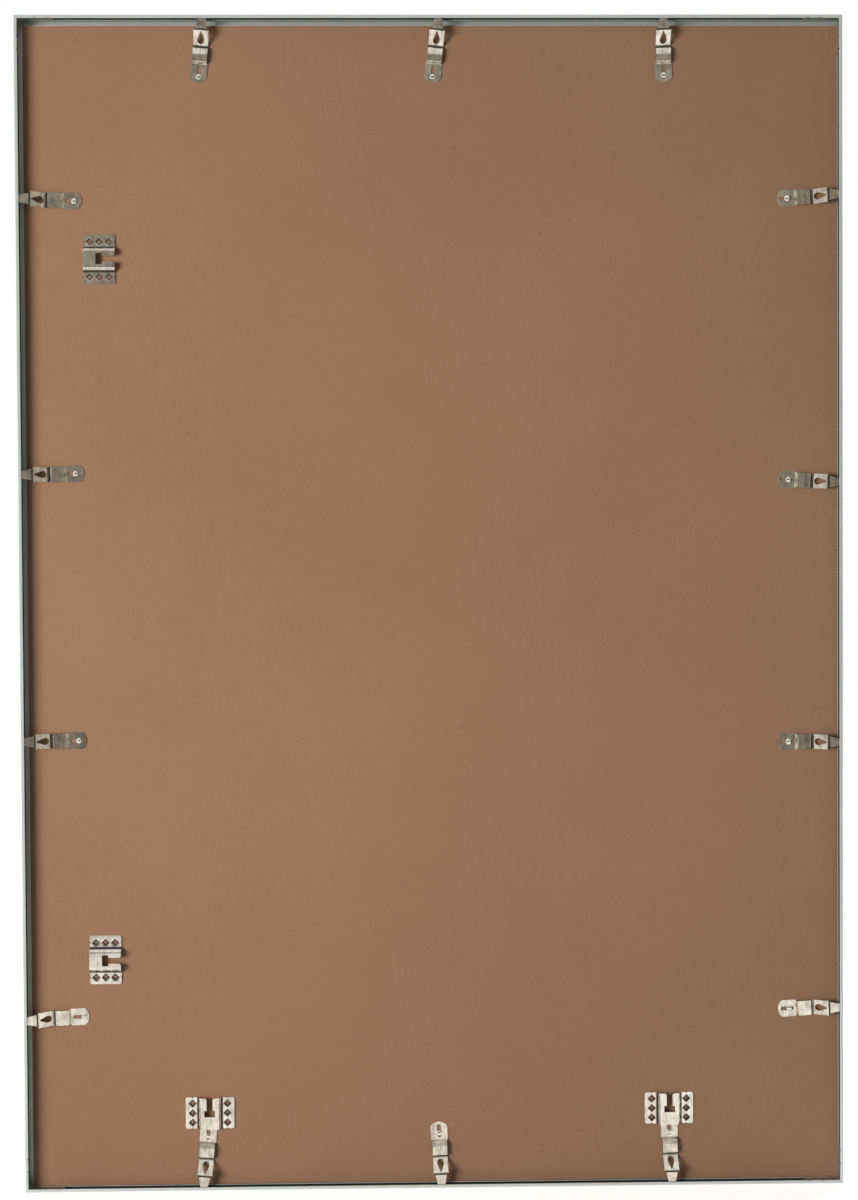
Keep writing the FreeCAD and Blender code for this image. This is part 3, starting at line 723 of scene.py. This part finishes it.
def pad_behind(seat):
    """Distance from the end of the pad to the rivet: the last place in the slot less the slide."""
    return SLOT_END - SLOT_R - joints[f"clip_{seat}_slide"]["range_m"][1] / MM


for seat in seats:
    rivet, axes = seat_axes(seat)
    halves = np.concatenate([half.reshape(-1, 3) for half in clip_halves])
    points = (rivet + (halves - (pad_behind(seat), 0, 0)) @ axes) * MM
    rows, columns = clip_halves[0].shape[:2]
    quads = np.concatenate((grid_quads(rows, columns), grid_quads(rows, columns, rows * columns)))
    piece = make_piece(f"sprung_clip_{seat}", points, quads, SPRING, halves[:, :2] * MM)
    soften(piece, CLIP_T)
    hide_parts(f"clip_{seat}")
    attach(piece, f"clip_{seat}")
print("clips:", len(seats))

# %% [markdown]
# A rivet is round about its axis, so its surface is one profile spun through a full circle: the
# foot inside the board, the shank, and the low domed head with its narrow rounded rim. The profile
# is a list of (radius, height) and the spin is a grid of cosines and sines.

# %% Rivets
SHANK_R, HEAD_R, HEAD_H, HEAD_LOW = 1.6, 2.45, 1.1, 0.7
FOOT_LOW, FOOT_T, FOOT_R, FOOT_EDGE_R = -2.95, 0.5, 2.6, 0.15
RIM_R, RIM_LEAN = 0.05, 0.02
DOME_SHARE, DOME_DROP = 0.97, 0.02
ball_r = (HEAD_R ** 2 + HEAD_H ** 2) / (2 * HEAD_H)
dome_turns = np.linspace(math.asin(HEAD_R / ball_r) * DOME_SHARE, 0, 12)
dome = np.stack((ball_r * np.sin(dome_turns),
                 HEAD_LOW + HEAD_H - ball_r * (1 - np.cos(dome_turns)) - DOME_DROP), axis=1)
rivet_profile = np.concatenate((
    rounded_path([(0, FOOT_LOW, 0), (FOOT_R, FOOT_LOW, FOOT_EDGE_R),
                  (FOOT_R, FOOT_LOW + FOOT_T, FOOT_EDGE_R), (SHANK_R, FOOT_LOW + FOOT_T, 0),
                  (SHANK_R, HEAD_LOW, 0), (HEAD_R - RIM_R, HEAD_LOW, RIM_R),
                  (HEAD_R - RIM_LEAN, HEAD_LOW + RIM_R, 0)], step_degrees=20),
    dome))
spin = np.linspace(0, 2 * math.pi, 41)
rivet_points = np.stack((
    rivet_profile[:, :1] * np.cos(spin), rivet_profile[:, :1] * np.sin(spin),
    np.broadcast_to(rivet_profile[:, 1:], (len(rivet_profile), len(spin)))), axis=-1)
for seat in seats:
    rivet, axes = seat_axes(seat)
    points = (rivet + rivet_points.reshape(-1, 3) @ axes) * MM
    piece = make_piece(f"domed_rivet_{seat}", points, grid_quads(*rivet_points.shape[:2]), RIVET)
    piece.data.set_sharp_from_angle(angle=math.radians(45))
    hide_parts(f"rivet_{seat}")
    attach(piece, f"rivet_{seat}")
print("rivets:", len(seats), "with", len(rivet_profile), "rings each")

# %% [markdown]
# The hangers. A hanger is stamped from one millimetre sheet: two wings on the board, a raised
# bridge between them, and a notch in the bridge for a hook or a screw. Three squares on each wing
# are pierced on their corners, and the punch turns four pointed teeth down into the board, which
# draws the rim of the hole in.
#
# It is again a surface over (across, along), with the height from a bent path. The lines that run
# across it part at each pierced square and meet again behind it, as ripples pass a stone: a line
# stands off by the half diagonal less the distance from the middle, or not at all. The cells
# between the two innermost lines are the hole. Cells inside the notch are left out too.

# %% Sizes of the hangers
HANGER_T = 1.0
HALF_W, HALF_L = 21.0, 13.6
WING_START, LIFT_START = 10.8, 7.3
LIFTED = HANGER_T / 2 + 4.3
CORNER_R, FOLD_R = 1.8, 1.0
HALF_NECK, NECK_LOW, MOUTH_R = 2.6, 2.8, 2.0
HALF_HOLE, HOLE_LOW = 4.7, -2.6
BURR_SPOTS = [(sign * BURR_AT, step * BURR_PITCH, 0) for sign in (1, -1) for step in (-1, 0, 1)]
DRAWN_RUN, DRAWN_DEPTH = 0.6, 0.42
TOOTH_DEPTH = 1.9
MORE_LINES = (1.3, 6.0)
EDGE_SHARES = (0.35, 0.7)

hanger_side = rounded_path([(-HALF_W, HANGER_T / 2, 0), (-WING_START, HANGER_T / 2, FOLD_R),
                            (-LIFT_START, LIFTED, FOLD_R), (LIFT_START, LIFTED, FOLD_R),
                            (WING_START, HANGER_T / 2, FOLD_R), (HALF_W, HANGER_T / 2, 0)])
burr_offs = BURR_MID + math.sqrt(2) * DRAWN_RUN * np.array((0, 0.3, 0.6, 1))
print("bends of the hanger:", len(hanger_side), "points; ripples stand off",
      [round(value, 2) for value in burr_offs])

# %% Middle surface of a hanger
def side_places():
    """Places across one half of the hanger, crowded where an outline is round."""
    burr = np.concatenate((BURR_MID * np.linspace(0, 1, 5)[:-1], burr_offs))
    return stations(
        (0, HALF_NECK, HALF_HOLE, *MORE_LINES), HALF_NECK + eased(0, MOUTH_R, 7),
        np.abs(hanger_side[:, 0]), BURR_AT + burr, BURR_AT - burr,
        HALF_W - eased(0, CORNER_R, 7))


def outer_reach(a):
    """Distance of the hanger's end from its middle at place a, and how far its mouth draws that
    end in."""
    def round_off(x, radius):
        """How far a round corner draws in: r less the root of r squared less x squared."""
        return radius - np.sqrt(np.clip(radius ** 2 - np.clip(x, 0, radius) ** 2, 0, None))
    corner = round_off(np.abs(a) - (HALF_W - CORNER_R), CORNER_R)
    mouth = round_off(HALF_NECK + MOUTH_R - np.abs(a), MOUTH_R)
    return HALF_L - corner, np.where(np.abs(a) < HALF_NECK + MOUTH_R, mouth, 0)


def hanger_grid():
    """Middle surface over (across, along): lines along stand off each pierced square by its ripple,
    and the lines between two squares share the room between them evenly."""
    half = side_places()
    a = np.concatenate((-half[:0:-1], half))
    away = np.abs(np.abs(a) - BURR_AT)[:, None]
    ripple = np.clip(burr_offs - away, 0, None)
    end, mouth = outer_reach(a)
    widest = ripple[:, -1:]
    low_end, top_end = -end[:, None], (end - mouth)[:, None]

    def room(low, high, shares):
        """Lines between two others, each at its share of the way."""
        return low + (high - low) * np.array(shares)

    lines = [low_end, room(low_end, -BURR_PITCH - widest, EDGE_SHARES)]
    for place, cut in ((-BURR_PITCH, BURR_PITCH + HOLE_LOW), (0, NECK_LOW), (BURR_PITCH, None)):
        lines += [place - ripple[:, ::-1], place + ripple]
        if cut is not None:
            share = cut / BURR_PITCH
            lines.append(room(place + widest, place + BURR_PITCH - widest,
                              (share / 2, share, (1 + share) / 2)))
    lines += [room(BURR_PITCH + widest, top_end, EDGE_SHARES), top_end]
    b = np.concatenate(lines, axis=1)
    height = np.interp(a, hanger_side[:, 0], hanger_side[:, 1])[:, None] + 0 * b
    for place in (-BURR_PITCH, 0, BURR_PITCH):
        off = (away + np.abs(b - place) - BURR_MID) / math.sqrt(2)
        height = height - DRAWN_DEPTH * (1 - np.clip(off / DRAWN_RUN, 0, 1)) ** 2 * (off < DRAWN_RUN)
    return np.stack((np.broadcast_to(a[:, None], b.shape), b, height), axis=-1)


def hanger_quads(grid):
    """Quads of the grid, without those in a pierced square or in the notch."""
    rows, columns = grid.shape[:2]
    quads = grid_quads(rows, columns)
    middle = grid.reshape(-1, 3)[quads].mean(axis=1)
    a, b = np.abs(middle[:, 0]), middle[:, 1]
    nearest = np.round(b / BURR_PITCH) * BURR_PITCH
    pierced = np.abs(a - BURR_AT) + np.abs(b - nearest) < BURR_MID - HAIR
    notch = ((a < HALF_NECK) & (b > NECK_LOW)) | ((a < HALF_HOLE) & (b > HOLE_LOW) & (b < NECK_LOW))
    return quads[~(pierced | notch)]


hanger_mid = hanger_grid()
hanger_faces = hanger_quads(hanger_mid)
print("hanger grid", hanger_mid.shape[:2], "faces", len(hanger_faces))

# %% Teeth of a hanger
def burr_teeth():
    """Four pointed teeth at each pierced square, each a surface over (place along its side, depth).
    A tooth goes down by its depth at the middle of the side, and by less towards both corners."""
    t = np.linspace(0, 1, 5)[:, None]
    down = np.linspace(0, 1, 4)[None, :]
    corners = BURR_MID * np.array(((1, 0), (0, 1), (-1, 0), (0, -1), (1, 0)), float)
    rim = HANGER_T / 2 - DRAWN_DEPTH
    sheets = []
    for start, end in zip(corners, corners[1:]):
        plan = start + (end - start) * t
        depth = TOOTH_DEPTH * (1 - np.abs(2 * t - 1)) * down
        x, y = (np.broadcast_to(plan[:, i:i + 1], depth.shape) for i in (0, 1))
        sheets.append(np.stack((x, y, rim - depth), axis=-1))
    single = np.stack(sheets)
    return np.concatenate([single + np.array(spot) for spot in BURR_SPOTS])


teeth = burr_teeth()
print("teeth:", teeth.shape[0])

# %% Place the hangers
HANGERS = {"hanger_left_upper": (1, 0), "hanger_left_lower": (1, 0),
           "hanger_bottom_left": (0, 1), "hanger_bottom_right": (0, 1)}


def hanger_seat(name):
    """Middle of a hanger on the board in mm, and its own directions as rows: across it, towards
    its mouth, rear."""
    low, high = (np.array(corner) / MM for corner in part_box(name))
    ahead = np.array((HANGERS[name][0], 0, HANGERS[name][1]), float)
    centre = np.array(((low[0] + high[0]) / 2, BOARD_BACK, (low[2] + high[2]) / 2))
    return centre, np.stack((np.cross(ahead, REAR), ahead, REAR))


flat_points = [hanger_mid.reshape(-1, 3)]
flat_quads = [hanger_faces]
count = len(flat_points[0])
for tooth in teeth:
    flat_points.append(tooth.reshape(-1, 3))
    flat_quads.append(grid_quads(*tooth.shape[:2], count))
    count += tooth.shape[0] * tooth.shape[1]
flat_points, flat_quads = np.concatenate(flat_points), np.concatenate(flat_quads)
for name in HANGERS:
    centre, axes = hanger_seat(name)
    piece = make_piece(f"stamped_{name}", (centre + flat_points @ axes) * MM, flat_quads, HANGER,
                       flat_points[:, :2] * MM)
    soften(piece, HANGER_T, 40)
    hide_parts(name)
    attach(piece, "frame")
print("hangers:", len(HANGERS))

# %% [markdown]
# The teeth cut into the board along the sides of each square, and the fibre between them stays
# where it was, a little torn and raised. It shows as a brown diamond in each hole. Each is a small
# cushion: a grid over (x, y) that is nearly level inside and whose outermost ring goes down between
# the teeth.

# %% Fibre between the teeth
CORE_HALF, CORE_TOP, CORE_DEEP, CORE_FALL = 1.5, -0.1, -2.1, 0.25
core_steps = CORE_HALF * np.array((-1, -1, -0.86, -0.45, 0, 0.45, 0.86, 1, 1))


def fibre_core():
    """Cushion of one burr: the height falls from the top by the fourth power of the distance from
    the middle, and the outermost ring lies at the bottom. The grid is turned by 45 degrees."""
    x, y = np.meshgrid(core_steps, core_steps, indexing="ij")
    far = np.maximum(np.abs(x), np.abs(y)) / CORE_HALF
    height = CORE_TOP - CORE_FALL * far ** 4
    ring = np.ones(x.shape, bool)
    ring[1:-1, 1:-1] = False
    height[ring] = CORE_DEEP
    return np.stack(((x - y) / math.sqrt(2), (x + y) / math.sqrt(2), height), axis=-1)


core = fibre_core()
core_points, core_quads, count = [], [], 0
for name in HANGERS:
    centre, axes = hanger_seat(name)
    for spot in BURR_SPOTS:
        core_points.append((centre + (core.reshape(-1, 3) + np.array(spot)) @ axes) * MM)
        core_quads.append(grid_quads(*core.shape[:2], count))
        count += core.shape[0] * core.shape[1]
piece = make_piece("board_fibre_in_burrs", np.concatenate(core_points), np.concatenate(core_quads),
                   HARDBOARD)
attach(piece, "frame")
print("cushions of fibre:", len(core_points))

# %% [markdown]
# The set is a pale studio. The floor and the world are white for the camera and for mirror
# reflections, through Light Path, and give plain light at a modest level for everything else. The
# floor reads as white because it also glows for them, and more so far off, which leaves the shadow
# near the frame.

# %% Floor and world
def seen_directly(place):
    """1 for what the camera, a reflection or a see-through surface looks at, and 0 for light."""
    path = place.node("ShaderNodeLightPath")
    rays = [path.output(f"Is {kind} Ray") for kind in ("Camera", "Glossy", "Transmission")]
    return rays[0].maths("MAXIMUM", rays[0].maths("MAXIMUM", rays[0], rays[1]), rays[2])


WORLD_LIGHT = 0.14
FLOOR_GLOW, FAR_GLOW = 0.70, 0.16
FAR_START, FAR_END = 0.7, 1.6
HALF_FLOOR = 6.0
world = bpy.data.worlds.new("studio")
bpy.context.scene.world = world
world.use_nodes = True
world.node_tree.nodes.clear()
world_output = world.node_tree.nodes.new("ShaderNodeOutputWorld")
first = Wire(world.node_tree, None)
level = WORLD_LIGHT + (1 - WORLD_LIGHT) * seen_directly(first)
background = first.node("ShaderNodeBackground", None, {"Color": (1, 1, 1, 1), "Strength": level})
world.node_tree.links.new(background.socket, world_output.inputs["Surface"])

FLOOR_Z = cad_low.z
floor_mesh = bpy.data.meshes.new("floor")
floor_mesh.from_pydata([(-HALF_FLOOR, -HALF_FLOOR, FLOOR_Z), (HALF_FLOOR, -HALF_FLOOR, FLOOR_Z),
                        (HALF_FLOOR, HALF_FLOOR, FLOOR_Z), (-HALF_FLOOR, HALF_FLOOR, FLOOR_Z)],
                       [], [(0, 1, 2, 3)])
floor = bpy.data.objects.new("floor", floor_mesh)
bpy.context.scene.collection.objects.link(floor)
floor_paint, place, output = start_finish("floor_paint")
distance = place.node("ShaderNodeVectorMath", {"operation": "LENGTH"}, {0: place}).output("Value")
far_off = distance.between(FAR_START, FAR_END)
principled(place, output, {"Base Color": (0.86, 0.86, 0.86, 1), "Roughness": 0.8,
                           "Emission Color": (1, 1, 1, 1),
                           "Emission Strength": (FLOOR_GLOW + FAR_GLOW * far_off) * seen_directly(place)})
floor_mesh.materials.append(floor_paint)
print("floor at", round(FLOOR_Z / MM, 1), "mm")

# %% [markdown]
# The photograph was lit softly from the left, on the camera's side: the board is lighter at the
# left, and the rim throws a soft shadow on it there. One large area lamp does that, with a spread
# as narrow as a grid on a softbox gives, because the board grows darker towards its top and bottom.
# A second lamp stands on the other side of the frame, so that the glass and the front are lit in
# other views.
#
# Bright metal shows what stands round it, and a room isn't white all round. So a warm grey card,
# bent like a chair's seat and back, stands behind and below the camera, and a paler card stands at
# each side of it. They give the flat metal its middle tones. The camera doesn't see the cards, and
# reflections don't see the lamps, which are far brighter than a lit wall.

# %% Lamps and cards
def area_lamp(name, at, towards, size, power, spread=180):
    """Square lamp at a place, turned towards another, that reflections don't see. Its light fades
    out at half the spread, in degrees, to each side."""
    light = bpy.data.lights.new(name, "AREA")
    light.shape = "SQUARE"
    light.size = size
    light.energy = power
    light.spread = math.radians(spread)
    lamp = bpy.data.objects.new(name, light)
    bpy.context.scene.collection.objects.link(lamp)
    lamp.location = at
    lamp.rotation_euler = (Vector(towards) - Vector(at)).to_track_quat("-Z", "Y").to_euler()
    lamp.visible_glossy = False


area_lamp("key", (-2.1, -1.8, -0.12), (0, 0, -0.05), size=1.3, power=26.5, spread=78)
area_lamp("front_side", (1.5, 2.4, 1.2), (0, 0, 0), size=1.8, power=72)

CARD_LEFT, CARD_RIGHT = -1.0, 1.2
CARD_LOW, CARD_TOP = -0.49, 1.4
CARD_REAR = -2.6
SEAT_END, LEFT_END, RIGHT_END = -1.0, -0.8, 0.1
WARM_GREY, PALE_GREY = (0.70, 0.65, 0.56, 1), (0.84, 0.78, 0.70, 1)
CARDS = {
    "card_behind": ([(CARD_LEFT, SEAT_END, CARD_LOW), (CARD_RIGHT, SEAT_END, CARD_LOW),
                     (CARD_RIGHT, CARD_REAR, CARD_LOW), (CARD_LEFT, CARD_REAR, CARD_LOW),
                     (CARD_RIGHT, CARD_REAR, CARD_TOP), (CARD_LEFT, CARD_REAR, CARD_TOP)],
                    [(0, 1, 2, 3), (3, 2, 4, 5)], WARM_GREY),
    "cards_beside": ([(CARD_LEFT, CARD_REAR, CARD_LOW), (CARD_LEFT, LEFT_END, CARD_LOW),
                      (CARD_LEFT, LEFT_END, CARD_TOP), (CARD_LEFT, CARD_REAR, CARD_TOP),
                      (CARD_RIGHT, CARD_REAR, CARD_LOW), (CARD_RIGHT, RIGHT_END, CARD_LOW),
                      (CARD_RIGHT, RIGHT_END, CARD_TOP), (CARD_RIGHT, CARD_REAR, CARD_TOP)],
                     [(0, 1, 2, 3), (4, 5, 6, 7)], PALE_GREY)}
for name, (corners, faces, colour) in CARDS.items():
    card_mesh = bpy.data.meshes.new(name)
    card_mesh.from_pydata(corners, [], faces)
    reflected_card = bpy.data.objects.new(name, card_mesh)
    bpy.context.scene.collection.objects.link(reflected_card)
    reflected_card.visible_camera = False
    reflected_card.visible_shadow = False
    reflected_card.visible_diffuse = False
    card_paint, place, output = start_finish(f"{name}_paint")
    principled(place, output, {"Base Color": colour, "Roughness": 0.9})
    card_mesh.materials.append(card_paint)
print("lamps are up, and cards:", len(CARDS))

# %% [markdown]
# Last, plain colour management: the Standard view writes colours as they are.

# %% View
bpy.context.scene.view_settings.view_transform = "Standard"
